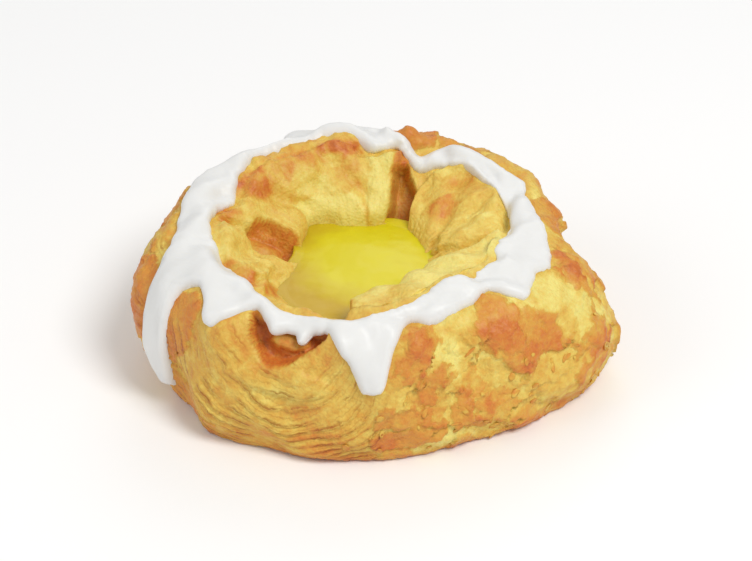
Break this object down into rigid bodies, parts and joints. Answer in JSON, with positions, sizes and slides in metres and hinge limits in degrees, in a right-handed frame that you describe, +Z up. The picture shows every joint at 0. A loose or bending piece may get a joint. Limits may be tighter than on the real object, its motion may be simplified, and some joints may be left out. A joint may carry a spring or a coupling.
{
  "type": "danish pastry",
  "caption": "Round danish pastry: a puffed ring of flaky layered dough with petals folded into a well of yellow custard, and a poured band of white icing along the rim.",
  "frame": {"origin": "middle of the bounding box's foot, on the surface that the pastry rests on", "axes": "+Z up out of the custard well; +X along the longest way across, towards the browned corner on the right; -Y towards the side with the long icing drip"},
  "size_m": [0.1148, 0.0954, 0.0417],
  "materials": {
    "crust": "baked laminated dough, golden with browned edges, satin",
    "custard": "smooth set custard, lemon yellow, moist sheen",
    "icing": "set sugar icing, white, soft gloss"
  },
  "bodies": {
    "root": {"dough": "crust", "custard": "custard", "icing": "icing"}
  },
  "joints": []
}
